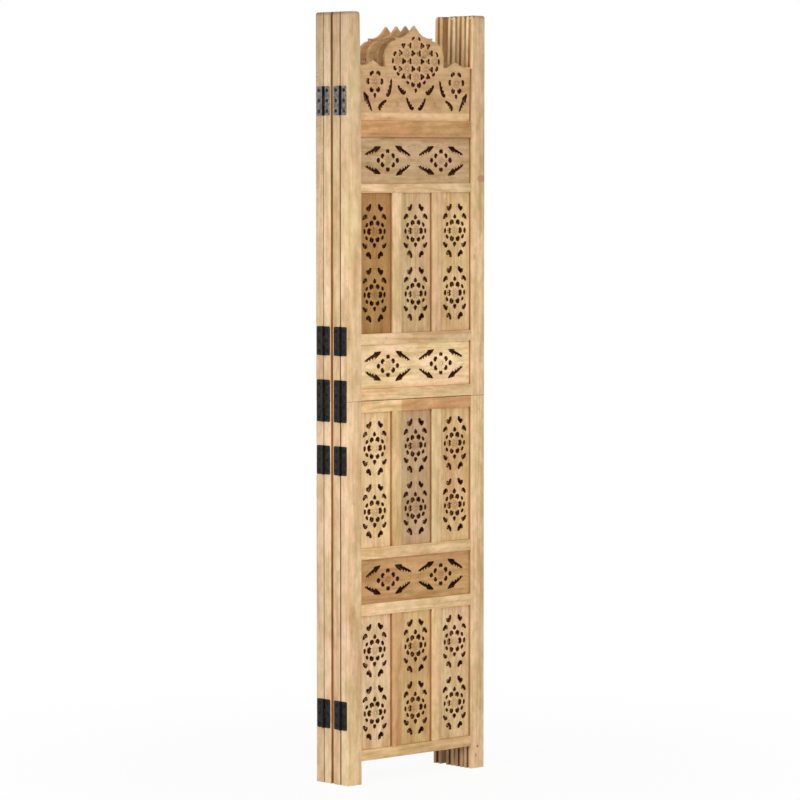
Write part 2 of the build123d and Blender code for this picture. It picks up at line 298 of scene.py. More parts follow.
class Tree:
    """A node tree that is built a node at a time."""

    def __init__(self, tree):
        self.tree = tree

    def node(self, kind, settings=None, **inputs):
        """The outputs of a new node, with its settings and what feeds its inputs, by identifier."""
        made = self.tree.nodes.new(kind)
        for name, value in (settings or {}).items():
            setattr(made, name, value)
        for name, value in inputs.items():
            socket = next(s for s in made.inputs if s.identifier.replace(" ", "_") == name)
            self.feed(socket, value)
        return made.outputs

    def feed(self, socket, value):
        """Feeds an input from a socket, several sockets, a colour or another plain value."""
        if isinstance(value, (bpy.types.NodeSocket, list)):
            for source in value if isinstance(value, list) else [value]:
                self.tree.links.new(source, socket)
        else:
            socket.default_value = (*value, 1.0) if socket.type == "RGBA" else value

    def out(self, kind, settings=None, **inputs):
        """The first output of a new node."""
        return self.node(kind, settings, **inputs)[0]

    def geometry(self, kind, settings=None, **inputs):
        """The first output of a new geometry node."""
        return self.out("GeometryNode" + kind, settings, **inputs)

    def attribute(self, name, kind):
        """A named attribute of the geometry."""
        return self.geometry("InputNamedAttribute", {"data_type": kind}, Name=name)

    def maths(self, operation, a, b=None):
        """One sum on numbers."""
        inputs = {"Value": a} if b is None else {"Value": a, "Value_001": b}
        return self.out("ShaderNodeMath", {"operation": operation}, **inputs)

    def plus(self, a, b):
        """The sum of two numbers."""
        return self.maths("ADD", a, b)

    def minus(self, a, b):
        """The difference of two numbers."""
        return self.maths("SUBTRACT", a, b)

    def times(self, a, b):
        """The product of two numbers."""
        return self.maths("MULTIPLY", a, b)

    def vector_maths(self, operation, **inputs):
        """One sum on vectors."""
        made = self.node("ShaderNodeVectorMath", {"operation": operation}, **inputs)
        return made["Value" if operation == "LENGTH" else "Vector"]

    def part(self, vector, axis):
        """One part of a vector."""
        return self.node("ShaderNodeSeparateXYZ", Vector=vector)[axis]

    def own(self, name):
        """An attribute of the mesh that is being shaded."""
        return self.node("ShaderNodeAttribute", {"attribute_name": name})

    def object_place(self):
        """Object coordinates."""
        return self.node("ShaderNodeTexCoord")["Object"]

    def ramp(self, value, low, high):
        """0 below low, 1 above high."""
        return self.out(
            "ShaderNodeMapRange", {"interpolation_type": "SMOOTHSTEP"}, Value=value, From_Min=low, From_Max=high
        )

    def mixed(self, amount, a, b):
        """A colour between two others."""
        settings = {"data_type": "RGBA"}
        return self.node("ShaderNodeMix", settings, Factor_Float=amount, A_Color=a, B_Color=b)["Result"]

    def tinted(self, a, b):
        """Two colours multiplied."""
        settings = {"data_type": "RGBA", "blend_type": "MULTIPLY"}
        return self.node("ShaderNodeMix", settings, Factor_Float=1.0, A_Color=a, B_Color=b)["Result"]

    def noise(self, place, scale, detail=2.0, **inputs):
        """Noise of one scale all ways."""
        return self.out("ShaderNodeTexNoise", Vector=place, Scale=scale, Detail=detail, **inputs)

    def drawn_noise(self, place, scale, detail=2.0, distortion=0.0):
        """Noise with a scale for each axis, drawn out along the grain."""
        spread = self.vector_maths("MULTIPLY", Vector=place, Vector_001=scale)
        return self.noise(spread, 1.0, detail, Roughness=0.55, Distortion=distortion)


def shader_tree(owner):
    """The node tree of a material or a world, emptied."""
    owner.use_nodes = True
    owner.node_tree.nodes.clear()
    return Tree(owner.node_tree)


class Maker:
    """A geometry node group and what it is run with."""

    def __init__(self, name, inputs):
        group = bpy.data.node_groups.new(name, "GeometryNodeTree")
        self.group = group
        self.sockets = {}
        for label, kind in inputs.items():
            socket = group.interface.new_socket(name=label, in_out="INPUT", socket_type=f"NodeSocket{kind}")
            self.sockets[label] = socket.identifier
        group.interface.new_socket(name="Made", in_out="OUTPUT", socket_type="NodeSocketGeometry")
        self.tree = Tree(group)
        self.given = self.tree.node("NodeGroupInput")

    def end(self, made, material):
        """Ends the tree: real geometry of one material comes out."""
        real = self.tree.geometry("RealizeInstances", Geometry=made)
        real = self.tree.geometry("SetMaterial", Geometry=real, Material=material)
        self.group.links.new(real, self.group.nodes.new("NodeGroupOutput").inputs[0])

    def run(self, points, **values):
        """The mesh that the group makes from a mesh of points."""
        holder = in_scene("holder", points)
        modifier = holder.modifiers.new("maker", "NODES")
        modifier.node_group = self.group
        for label, value in values.items():
            modifier[self.sockets[label]] = value
        evaluated = holder.evaluated_get(bpy.context.evaluated_depsgraph_get())
        made = bpy.data.meshes.new_from_object(evaluated)
        holder.modifiers.remove(modifier)
        bpy.data.objects.remove(holder)
        return made


# ---- Hole shapes ----


def counterclockwise(points):
    """The points in counterclockwise order."""
    pairs = zip(points, points[1:] + points[:1])
    area = sum(ax * by - bx * ay for (ax, ay), (bx, by) in pairs)
    return points if area > 0 else points[::-1]


def round_points(count, shape):
    """Points round a circle of diameter 1, each moved by shape(x, y, angle)."""
    angles = [2 * math.pi * i / count for i in range(count)]
    return [shape(math.cos(a) / 2, math.sin(a) / 2, a) for a in angles]


def bean(x, y, angle):
    """A kidney, its hollow towards -X."""
    hollow = 0.5 * math.exp(-((y / 0.16) ** 2)) if x < 0 else 0.0
    return x * (1 - hollow), y


def drop(x, y, angle):
    """A drop, its point towards +X."""
    return x, y * max(0.1, math.sin(angle / 2) ** 2) ** 0.4


def trefoil(x, y, angle):
    """Three lobes, one towards +X."""
    reach = 2 * (0.40 + 0.10 * math.cos(3 * angle))
    return x * reach, y * reach


def bent_leaf(edge, bend, hand):
    """A leaf along X, its first point at -X, curved by bend and turned over for the other hand."""
    bends = [bend * (1 - (2 * along - 1) ** 2) - bend / 2 for along, across in edge]
    return [(along - 0.5, hand * (across + aside)) for (along, across), aside in zip(edge, bends)]


# Leaf outlines from the tip along the smooth edge to the stalk and back along the toothed edge
FEATHER_EDGE = (
    (0.0, 0.0), (0.12, 0.20), (0.28, 0.32), (0.42, 0.42), (0.46, 0.12), (0.58, 0.34), (0.62, 0.06),
    (0.74, 0.30), (0.78, 0.04), (0.89, 0.26), (0.93, 0.04), (1.0, 0.16), (1.0, -0.10), (0.80, -0.18),
    (0.60, -0.22), (0.46, -0.22), (0.36, -0.40), (0.24, -0.28), (0.10, -0.14),
)
LEAF_EDGE = (
    (0.0, 0.06), (0.10, 0.24), (0.28, 0.30), (0.50, 0.36), (0.74, 0.42), (0.92, 0.32), (1.0, 0.02),
    (0.96, -0.32), (0.84, -0.46), (0.76, -0.16), (0.66, -0.46), (0.54, -0.12), (0.44, -0.38),
    (0.32, -0.10), (0.20, -0.26), (0.06, -0.10),
)
SPRIG_EDGE = (
    (0.0, 0.0), (0.14, 0.24), (0.34, 0.32), (0.50, 0.22), (0.60, 0.52), (0.78, 0.62), (0.96, 0.42),
    (1.0, 0.06), (0.94, -0.24), (0.76, -0.42), (0.52, -0.46), (0.30, -0.38), (0.12, -0.20),
)

HOLE_SHAPES = {
    "bean": round_points(14, bean),
    "drop": round_points(12, drop),
    "round": round_points(12, lambda x, y, angle: (x, y)),
    "trefoil": round_points(24, trefoil),
}
BENT_SHAPES = {"feather": (FEATHER_EDGE, 0.0), "leaf": (LEAF_EDGE, 0.16), "sprig": (SPRIG_EDGE, 0.05)}
for kind, (edge, bend) in BENT_SHAPES.items():
    HOLE_SHAPES[f"{kind}_left"] = bent_leaf(edge, bend, 1)
    HOLE_SHAPES[f"{kind}_right"] = bent_leaf(edge, bend, -1)
HOLE_NAMES = sorted(HOLE_SHAPES)


def loop_curve(name, points):
    """A closed curve object through flat points."""
    data = bpy.data.curves.new(name, "CURVE")
    data.dimensions = "3D"
    spline = data.splines.new("POLY")
    spline.points.add(len(points) - 1)
    for corner, (x, y) in zip(spline.points, points):
        corner.co = (x, y, 0.0, 1.0)
    spline.use_cyclic_u = True
    return bpy.data.objects.new(name, data)


# ---- Raised shapes ----

RELIEF_SUNK = 0.15 * MM  # how far the raised shapes are let into the board
BEAD_HALF = 0.55 * MM
BEAD_RISE = 0.45 * MM
FLOWER_REACH = 11.8 * MM
FLOWER_RISE = 3.0 * MM


def relief_object(name, parts):
    """A mesh object joined from lists of corners and faces, sunk a little into the board."""
    corners, faces = [], []
    for part_corners, part_faces in parts:
        start = len(corners)
        corners += [corner - Vector((0, 0, RELIEF_SUNK)) for corner in part_corners]
        faces += [[start + i for i in face] for face in part_faces]
    return bpy.data.objects.new(name, point_mesh(name, corners, faces))


def flower_parts(radius, petals, height):
    """A flower in low relief: petals round a bud."""
    parts = [dome(0.26 * radius, height, 1.0, 2, 8)]
    outward = Vector((0.62 * radius, 0, 0))
    for petal in range(petals):
        turn = Matrix.Rotation(2 * math.pi * (petal + 0.5) / petals, 3, "Z")
        corners, faces = dome(0.22 * radius, 0.62 * height, 1.55, 2, 8)
        parts.append(([turn @ (corner + outward) for corner in corners], faces))
    return parts


def bead_parts(points):
    """A narrow raised bead that follows a closed line of points in millimetres."""
    points = [MM * Vector(point) for point in points]
    corners = []
    count = len(points)
    for i, here in enumerate(points):
        along = (points[(i + 1) % count] - points[i - 1]).normalized()
        side = Vector((-along.y, along.x))
        for offset, rise in ((-BEAD_HALF, 0.0), (0.0, BEAD_RISE), (BEAD_HALF, 0.0), (0.0, -0.3 * BEAD_RISE)):
            corners.append((here + side * offset).to_3d() + Vector((0, 0, rise)))
    # Four corners to a point, so the faces run on from each point's corners to the next point's
    ends = [(4 * i, 4 * ((i + 1) % count)) for i in range(count)]
    return [(corners, [[a + k, b + k, b + (k + 1) % 4, a + (k + 1) % 4] for a, b in ends for k in range(4)])]


def pointed_oval(half_width, half_height, steps=18):
    """Points of an oval that comes to a point at its top and bottom."""
    points = []
    for i in range(2 * steps):
        rise = math.cos(math.pi * i / steps)
        width = half_width * (1 - abs(rise) ** 1.7) ** 0.9
        points.append((width if i < steps else -width, half_height * rise))
    return points


RELIEF_PARTS = {
    "bud": [dome(3.6 * MM, 1.6 * MM, 1.0, 3, 12)],
    "flower": flower_parts(FLOWER_REACH, 8, FLOWER_RISE),
    "oval_high": bead_parts(pointed_oval(33.5, 58)),
    "oval_wide": bead_parts([(y, x) for x, y in pointed_oval(24, 68)][::-1]),
}
RELIEF_NAMES = sorted(RELIEF_PARTS)


def shape_box(name, objects):
    """A collection outside the scene that holds the shapes a tree picks from."""
    box = bpy.data.collections.new(name)
    for obj in objects:
        box.objects.link(obj)
    return box


hole_box = shape_box(
    "hole_shapes", [loop_curve(f"hole_{name}", counterclockwise(HOLE_SHAPES[name])) for name in HOLE_NAMES]
)
relief_box = shape_box(
    "relief_shapes", [relief_object(f"relief_{name}", RELIEF_PARTS[name]) for name in RELIEF_NAMES]
)


# ---- Pierced boards ----

HOLE_CHAMFER = 0.6 * MM
WELD = 0.01 * MM


def board_maker():
    """Cuts chamfered holes through a board of any outline and lays its relief on both faces."""
    maker = Maker(
        "Pierced board",
        {
            "Layout": "Geometry",
            "Outline": "Object",
            "Holes": "Collection",
            "Reliefs": "Collection",
            "Thickness": "Float",
            "Wood": "Material",
        },
    )
    t, given = maker.tree, maker.given

    def lift(height):
        return t.out("ShaderNodeCombineXYZ", Z=height)

    def moved(geometry, offset):
        return t.geometry("SetPosition", Geometry=geometry, Offset=offset)

    turned = t.out("FunctionNodeEulerToRotation", Euler=lift(t.attribute("turn", "FLOAT")))
    size = t.attribute("size", "FLOAT_VECTOR")
    shape = t.attribute("shape", "INT")
    raised = t.attribute("relief", "BOOLEAN")

    def shapes_on(selection, collection):
        apart = {"Separate_Children": True, "Reset_Children": True}
        picked = t.geometry("CollectionInfo", Collection=collection, **apart)
        placed = t.geometry(
            "InstanceOnPoints",
            Points=given["Layout"],
            Selection=selection,
            Instance=picked,
            Pick_Instance=True,
            Instance_Index=shape,
            Rotation=turned,
            Scale=size,
        )
        return t.geometry("RealizeInstances", Geometry=placed)

    # The loops of the holes and of the outline, each with the way its edge flares at the faces
    cut = t.out("FunctionNodeBooleanMath", {"operation": "NOT"}, Boolean=raised)
    outline = t.node("GeometryNodeObjectInfo", Object=given["Outline"])["Geometry"]
    loops = t.geometry("JoinGeometry", Geometry=[shapes_on(cut, given["Holes"]), outline])
    tangent = t.geometry("InputTangent")
    into_wood = t.vector_maths("CROSS_PRODUCT", Vector=tangent, Vector_001=lift(1.0))
    flare = t.vector_maths("SCALE", Vector=into_wood, Scale=HOLE_CHAMFER)
    kept = {"data_type": "FLOAT_VECTOR", "domain": "POINT"}
    loops = t.geometry("StoreNamedAttribute", kept, Geometry=loops, Name="flare", Value=flare)
    flare = t.attribute("flare", "FLOAT_VECTOR")

    # The two faces
    half = t.times(given["Thickness"], 0.5)
    sheet = t.geometry("FillCurve", {"mode": "NGONS"}, Curve=moved(loops, flare))
    front = t.geometry("Transform", Geometry=sheet, Translation=lift(half))
    rear = t.geometry("Transform", Geometry=sheet, Translation=lift(t.times(given["Thickness"], -0.5)))
    rear = t.geometry("FlipFaces", Mesh=rear)

    # The walls: a chamfer, the straight part and a chamfer
    down_chamfer = lift(-HOLE_CHAMFER)
    down_wall = lift(t.minus(2 * HOLE_CHAMFER, given["Thickness"]))
    rims = moved(t.geometry("CurveToMesh", Curve=loops), lift(half))
    wall = t.node("GeometryNodeExtrudeMesh", {"mode": "EDGES"}, Mesh=rims, Offset=down_chamfer)
    for step in (down_wall, down_chamfer):
        top = wall["Top"]
        wall = t.node("GeometryNodeExtrudeMesh", {"mode": "EDGES"}, Mesh=wall[0], Selection=top, Offset=step)
    height = t.part(t.geometry("InputPosition"), "Z")
    at_face = t.maths("GREATER_THAN", t.maths("ABSOLUTE", height), t.minus(half, 0.5 * HOLE_CHAMFER))
    walls = moved(wall[0], t.vector_maths("SCALE", Vector=flare, Scale=at_face))

    board = t.geometry("JoinGeometry", Geometry=[front, rear, walls])
    board = t.geometry("MergeByDistance", Geometry=board, Distance=WELD)
    carved = t.geometry("Transform", Geometry=shapes_on(raised, given["Reliefs"]), Translation=lift(half))
    half_turn = t.out("FunctionNodeEulerToRotation", Euler=(0.0, math.pi, 0.0))
    carved_rear = t.geometry("Transform", Geometry=carved, Rotation=half_turn)
    maker.end(t.geometry("JoinGeometry", Geometry=[board, carved, carved_rear]), given["Wood"])
    return maker


BOARD_MAKER = board_maker()


def hole(shape, x, y, turn, long, wide):
    """A hole of a named shape: its place in mm, its turn in degrees and its size along and across."""
    return {"shape": shape, "x": x, "y": y, "turn": turn, "size": (long, wide), "relief": False}


def relief(shape, x, y, size=1.0):
    """A raised shape at a place in mm."""
    return {"shape": shape, "x": x, "y": y, "turn": 0.0, "size": (size, size), "relief": True}


def leaf(shape, point, stalk, width):
    """A leaf-shaped hole from its point to its stalk end."""
    run = Vector(stalk) - Vector(point)
    centre = (Vector(stalk) + Vector(point)) / 2
    return hole(shape, centre.x, centre.y, math.degrees(math.atan2(run.y, run.x)), run.length, width)


def aimed(shape, x, y, long, wide):
    """A hole whose +X side faces away from the middle of its motif."""
    return hole(shape, x, y, math.degrees(math.atan2(y, x)), long, wide)


def other_hand(shape):
    """The name of a shape's mirror image."""
    kind, _, hand = shape.partition("_")
    return {"left": f"{kind}_right", "right": f"{kind}_left"}.get(hand, shape)


def mirrored(marks, across):
    """Marks mirrored left to right or top to bottom."""
    made = []
    for mark in marks:
        moved = {across: -mark[across], "turn": (180 if across == "x" else 0) - mark["turn"]}
        made.append({**mark, **moved, "shape": other_hand(mark["shape"])})
    return made


def paired(across, *marks):
    """Each mark followed by its mirror image."""
    return [one for mark in marks for one in (mark, *mirrored([mark], across))]


def quartered(*marks):
    """A quarter of a motif carried round to all four quarters."""
    half = [*marks, *mirrored(marks, "x")]
    return half + mirrored(half, "y")


def shifted(marks, x, y):
    """Marks moved together."""
    return [{**mark, "x": mark["x"] + x, "y": mark["y"] + y} for mark in marks]


UPRIGHT_MOTIF = [
    *quartered(
        aimed("bean", 8.6, 17.4, 12.6, 12.4),
        hole("round", 22.8, 13.8, 36, 7.6, 10.4),
        leaf("sprig_left", (34.4, 24.8), (23.0, 36.2), 10.8),
        leaf("sprig_left", (9.6, 58.4), (20.8, 43.2), 12.4),
    ),
    *paired("x", hole("bean", 15.8, 0.0, 0, 12.2, 14.0), hole("round", 28.8, 0.0, 0, 7.0, 12.0)),
    *paired("y", hole("drop", 0.0, 30.2, 90, 11.0, 12.6)),
    relief("flower", 0.0, 0.0),
    relief("oval_high", 0.0, 0.0),
]
CROSS_MOTIF = [
    *quartered(
        aimed("bean", 15.2, 9.6, 11.0, 11.6),
        leaf("feather_right", (20.5, 31.5), (65.0, 10.8), 17.5),
    ),
    *paired("x", hole("round", 27.6, 0.0, 0, 10.6, 11.4)),
    *paired("y", hole("bean", 0.0, 19.4, 90, 11.4, 11.6)),
    relief("flower", 0.0, 0.0, 0.85),
    relief("oval_wide", 0.0, 0.0),
]

FLOWER_PLACES = [(0, 0), (0, 34), (0, -34), (27, 17), (-27, 17), (27, -17), (-27, -17), (53, 0), (-53, 0)]
TREFOIL_SIZE = 14.6
CREST_LATTICE_HEIGHT = 128.0
SIDE_ROSETTE = (118.5, 83.0)


def lattice_marks():
    """The lobe's honeycomb: trefoils where three flowers meet, beans round its rim."""
    places = []
    for x, y, turn in ((8.8, 16.8, 60), (18.0, 33.6, 0), (36.0, 33.2, 24), (45.2, 17.4, 60)):
        places += [(x, y, turn), (x, -y, -turn)]
    places += [(17.8, 0.0, 0), (36.0, 0.0, 60)]
    marks = [hole("trefoil", *place, TREFOIL_SIZE, TREFOIL_SIZE) for place in places]
    marks += [
        hole("bean", 60.6, 14.8, 34, 8.2, 11.8),
        hole("bean", 60.8, -15.8, -32, 9.6, 12.0),
        hole("bean", 8.4, 48.2, 58, 7.4, 11.0),
        hole("bean", 8.8, -50.4, -64, 12.4, 12.4),
        hole("bean", 51.8, -27.2, -56, 8.2, 10.6),
        hole("bean", 24.0, -45.4, -62, 8.2, 10.6),
        hole("round", 67.0, 0.0, 0, 6.6, 13.0),
    ]
    marks += mirrored(marks, "x")
    marks.append(hole("drop", 0.0, -63.6, -90, 11.0, 10.4))
    return marks + [relief("flower", x, y) for x, y in FLOWER_PLACES]


SIDE_ROSETTE_MARKS = [
    hole("bean", 9.6, 17.4, 58, 9.6, 13.4),
    hole("bean", 19.4, 0.4, 0, 10.6, 14.0),
    hole("bean", 9.2, -17.4, -60, 12.2, 12.4),
]
SIDE_ROSETTE_MARKS += mirrored(SIDE_ROSETTE_MARKS, "x")
SIDE_ROSETTE_MARKS += [hole("drop", 0.0, -30.0, -90, 12.0, 11.0), relief("flower", 0.0, 0.0)]

CREST_LEAF_MARKS = [
    leaf("leaf_left", (53.0, 77.0), (31.5, 56.5), 15.0),
    leaf("leaf_left", (28.0, 50.0), (9.6, 22.6), 12.5),
    leaf("leaf_right", (69.5, 89.0), (82.5, 50.0), 13.5),
    leaf("leaf_left", (86.5, 45.0), (107.5, 24.5), 13.0),
    leaf("feather_left", (150.0, 62.0), (128.5, 21.0), 19.0),
]
CREST_MARKS = [
    *shifted(lattice_marks(), 0.0, CREST_LATTICE_HEIGHT),
    *shifted(SIDE_ROSETTE_MARKS, *SIDE_ROSETTE),
    *shifted(mirrored(SIDE_ROSETTE_MARKS, "x"), -SIDE_ROSETTE[0], SIDE_ROSETTE[1]),
    *CREST_LEAF_MARKS,
    *mirrored(CREST_LEAF_MARKS, "x"),
    *paired("x", relief("bud", 54.0, 36.0, 1.5)),
]

UPRIGHT_PITCH = 135.5
UPRIGHT_SHIFT = 2.8  # how far right of centre the rosettes of the middle and right boards sit
LEFT_BOARD_END = -50 * MM
CREST_SHIFT = 4.0
CROSS_OFFSET = 77.5


def hand_cut(marks, dice):
    """The same marks as a carver leaves them, none quite in line or of quite one size."""
    made = []
    for mark in marks:
        loose = 0.0 if mark["relief"] else 1.0
        grow = 1 + loose * dice.uniform(-0.07, 0.07)
        plays = (("x", 0.5), ("y", 0.5), ("turn", 5))
        moved = {key: mark[key] + loose * dice.uniform(-play, play) for key, play in plays}
        made.append({**mark, **moved, "size": tuple(grow * part for part in mark["size"])})
    return made


def layout_mesh(marks):
    """The marks as points that carry their shape, turn and size."""
    mesh = point_mesh("layout", [(mark["x"] * MM, mark["y"] * MM, 0.0) for mark in marks])
    names = [RELIEF_NAMES if mark["relief"] else HOLE_NAMES for mark in marks]
    units = [1.0 if mark["relief"] else MM for mark in marks]
    sizes = [(unit * mark["size"][0], unit * mark["size"][1], 1.0) for unit, mark in zip(units, marks)]
    store(mesh, "shape", "INT", [known.index(mark["shape"]) for known, mark in zip(names, marks)])
    store(mesh, "relief", "BOOLEAN", [mark["relief"] for mark in marks])
    store(mesh, "turn", "FLOAT", [math.radians(mark["turn"]) for mark in marks])
    store(mesh, "size", "FLOAT_VECTOR", [part for size in sizes for part in size])
    return mesh


def pierced(marks, outline, thickness, material):
    """The corners and faces of one pierced board, drawn flat with its front towards +Z."""
    rim = loop_curve("board_outline", counterclockwise(outline)[::-1])
    flat = BOARD_MAKER.run(
        layout_mesh(marks), Outline=rim, Holes=hole_box, Reliefs=relief_box, Thickness=thickness, Wood=material
    )
    solid = bmesh.new()
    solid.from_mesh(flat)
    bmesh.ops.recalc_face_normals(solid, faces=solid.faces)
    corners, faces = faces_and_corners(solid)
    solid.free()
    bpy.data.objects.remove(rim)
    bpy.data.meshes.remove(flat)
    return corners, faces


def stood_up(corners, centre):
    """A board drawn flat, turned upright with its front towards -Y."""
    return [Vector((centre.x + p.x, centre.y - p.z, centre.z + p.y)) for p in corners]


def front_outline(solid):
    """The outer edge of a board's front face, seen from the front."""
    sides = [[face.normal.y < -0.99 for face in edge.link_faces] for edge in solid.edges]
    left = [edge for edge, fronts in zip(solid.edges, sides) if any(fronts) and not all(fronts)]
    loops = []
    while left:
        chain = list(left.pop(0).verts)
        while True:
            step = next((edge for edge in chain[-1].link_edges if edge in left), None)
            if step is None:
                break
            left.remove(step)
            chain.append(step.other_vert(chain[-1]))
        loops.append([(corner.co.x, corner.co.z) for corner in chain[:-1]])
    return max(loops, key=lambda loop: max(x for x, z in loop) - min(x for x, z in loop))


# ---- Materials ----


def surfaced(t, colour, rough, height, bump, gloss):
    """Ends a material with its colour, roughness, bump (strength and depth) and gloss."""
    normal = t.out("ShaderNodeBump", Strength=bump[0], Distance=bump[1], Height=height)
    surface = t.out(
        "ShaderNodeBsdfPrincipled", Base_Color=colour, Roughness=rough, Normal=normal, Specular_IOR_Level=gloss
    )
    t.node("ShaderNodeOutputMaterial", Surface=surface)


def knotted(t, colour, spot, size, tint):
    """A knot at a point, size from its middle to its edge along X, Y and Z."""
    place = t.object_place()
    offset = t.vector_maths("SUBTRACT", Vector=place, Vector_001=spot)
    reach = t.vector_maths("LENGTH", Vector=t.vector_maths("DIVIDE", Vector=offset, Vector_001=size))
    reach = t.plus(reach, t.times(t.noise(place, 220.0), 0.5))
    inside = t.minus(1.0, t.ramp(reach, 0.75, 1.25))
    return t.mixed(t.times(inside, 0.8), colour, tint)


def sawn(t, colour, place, smooth):
    """Brown strokes of the saw where the wood is not smooth."""
    wander = t.times(t.drawn_noise(place, (60.0, 60.0, 60.0)), 9.0)
    phase = t.plus(t.times(t.part(place, "X"), 820.0), t.times(t.part(place, "Z"), 420.0))
    strokes = t.ramp(t.maths("SINE", t.plus(phase, wander)), -0.2, 0.9)
    rough = t.times(t.ramp(t.minus(1.0, smooth), 0.35, 0.9), 0.8)
    rough = t.times(rough, t.ramp(t.drawn_noise(place, (55.0, 140.0, 140.0)), 0.4, 0.65))
    return t.mixed(t.times(rough, strokes), colour, SAW_BROWN)


def wood(name, figure, fleck, own_grain=True, knots=(), pale_below=0.0):
    """Raw pale hardwood: drawn-out figure, fine fibres, brown pores and a few small knots."""
    material = bpy.data.materials.new(name)
    t = shader_tree(material)
    place = t.own("grain")["Vector"] if own_grain else t.object_place()

    # How deep the colour is: the year rings, the streaks and broad blotches
    drift = t.drawn_noise(place, (1.5, 19.0, 19.0), 3.0, 0.7)
    blotch = t.drawn_noise(place, (9.0, 26.0, 26.0), 3.0)
    streak = t.drawn_noise(place, (7.0, 170.0, 170.0), 4.0)
    phase = t.plus(t.times(drift, 46.0), t.times(t.part(place, "Y"), 210.0))
    rings = t.maths("POWER", t.times(t.plus(t.maths("SINE", phase), 1.0), 0.5), 2.2)
    depth = t.plus(t.times(rings, 0.42 * figure), t.times(streak, 1.1 * figure))
    depth = t.plus(depth, t.times(t.ramp(blotch, 0.3, 0.75), 0.7))
    colour = t.mixed(t.minus(depth, 0.62), STRAW, STRAW_DEEP)

    # Warmer and cooler places, mottle, pores and the tree's own small knots
    warm = t.ramp(t.drawn_noise(place, (6.0, 14.0, 14.0)), 0.3, 0.7)
    colour = t.tinted(colour, t.mixed(warm, (0.98, 1.01, 0.93), (1.02, 0.97, 0.99)))
    mottle = t.ramp(t.drawn_noise(place, (38.0, 75.0, 75.0), 3.0), 0.32, 0.68)
    colour = t.tinted(colour, t.mixed(mottle, (0.88, 0.88, 0.80), (1.08, 1.04, 1.06)))
    pore = t.drawn_noise(place, (110.0, 420.0, 420.0))
    colour = t.mixed(t.times(t.ramp(pore, 0.62, 0.74), fleck), colour, PORE_BROWN)
    spread = t.vector_maths("MULTIPLY", Vector=place, Vector_001=(7.0, 15.0, 15.0))
    apart = t.node("ShaderNodeTexVoronoi", Vector=spread, Scale=1.0, Randomness=1.0)["Distance"]
    knot = t.minus(1.0, t.ramp(apart, 0.02, 0.08))
    colour = t.mixed(t.times(knot, 0.75), colour, KNOT_BROWN)

    for spot, size, tint in knots:
        colour = knotted(t, colour, spot, size, tint)
    if pale_below:
        carved = t.ramp(t.part(t.object_place(), "Z"), pale_below - 1.5 * MM, pale_below + 1.5 * MM)
        colour = t.tinted(colour, t.mixed(carved, (1.12, 1.14, 1.16), (0.88, 0.83, 0.82)))
    if own_grain:
        own = t.own("shade")
        colour = sawn(t, t.tinted(colour, own["Color"]), place, own["Alpha"])
    fibre = t.drawn_noise(place, (34.0, 1300.0, 1300.0))
    height = t.plus(t.times(fibre, 0.5), t.times(streak, 0.5))
    surfaced(t, colour, t.plus(t.times(streak, 0.22), 0.52), height, (0.5, 0.3 * MM), 0.2)
    return material


def black_steel(name):
    """Blackened steel with a dull sheen and faint brown rubs."""
    material = bpy.data.materials.new(name)
    t = shader_tree(material)
    place = t.object_place()
    cloud = t.noise(place, 160.0, 4.0, Roughness=0.6)
    colour = t.mixed(t.ramp(cloud, 0.35, 0.7), STEEL_BLACK, STEEL_BROWN)
    tarnish = t.ramp(t.noise(place, 210.0), 0.4, 0.6)
    colour = t.tinted(colour, t.mixed(tarnish, (0.92, 1.06, 0.94), (1.10, 0.98, 1.10)))
    colour = t.mixed(t.times(t.ramp(cloud, 0.66, 0.8), 0.6), colour, STEEL_RUB)
    colour = t.tinted(colour, t.own("shade")["Color"])
    grit = t.noise(place, 1400.0)
    surfaced(t, colour, t.plus(t.times(cloud, 0.25), 0.30), grit, (0.3, 0.1 * MM), 0.08)
    return material


CREST_PLAIN_TOP = 1.437  # the crest board is left uncarved below this
# Middles, half sizes and colours of the knots in the front panel's stiles
STILE_KNOTS = (
    ((0.191, -0.0599, 1.296), (0.017, 0.010, 0.010), (0.50, 0.235, 0.135)),
    ((0.170, -0.0599, 1.125), (0.003, 0.010, 0.009), (0.52, 0.24, 0.11)),
    ((0.181, -0.0599, 0.048), (0.004, 0.010, 0.004), (0.16, 0.09, 0.05)),
    ((0.176, -0.0599, 0.029), (0.003, 0.010, 0.006), (0.38, 0.24, 0.12)),
    ((-0.197, -0.0599, 0.957), (0.003, 0.010, 0.003), (0.36, 0.20, 0.11)),
)

WOODS = {
    "stile_wood": wood("stile_wood", 0.8, 0.35, knots=STILE_KNOTS),
    "rail_wood": wood("rail_wood", 1.0, 0.45),
    "muntin_wood": wood("muntin_wood", 0.8, 0.35),
    "jali_wood": wood("jali_wood", 0.9, 0.5),
    "cross_jali_wood": wood("cross_jali_wood", 0.9, 0.5),
    "crest_wood": wood("crest_wood", 0.7, 0.5, pale_below=CREST_PLAIN_TOP),
}
tenon_wood = wood("tenon_wood", 0.8, 0.4, own_grain=False)
hinge_steel = black_steel("hinge_steel")
pin_steel = black_steel("pin_steel")
screw_steel = black_steel("screw_steel")


# ---- Frame timbers ----

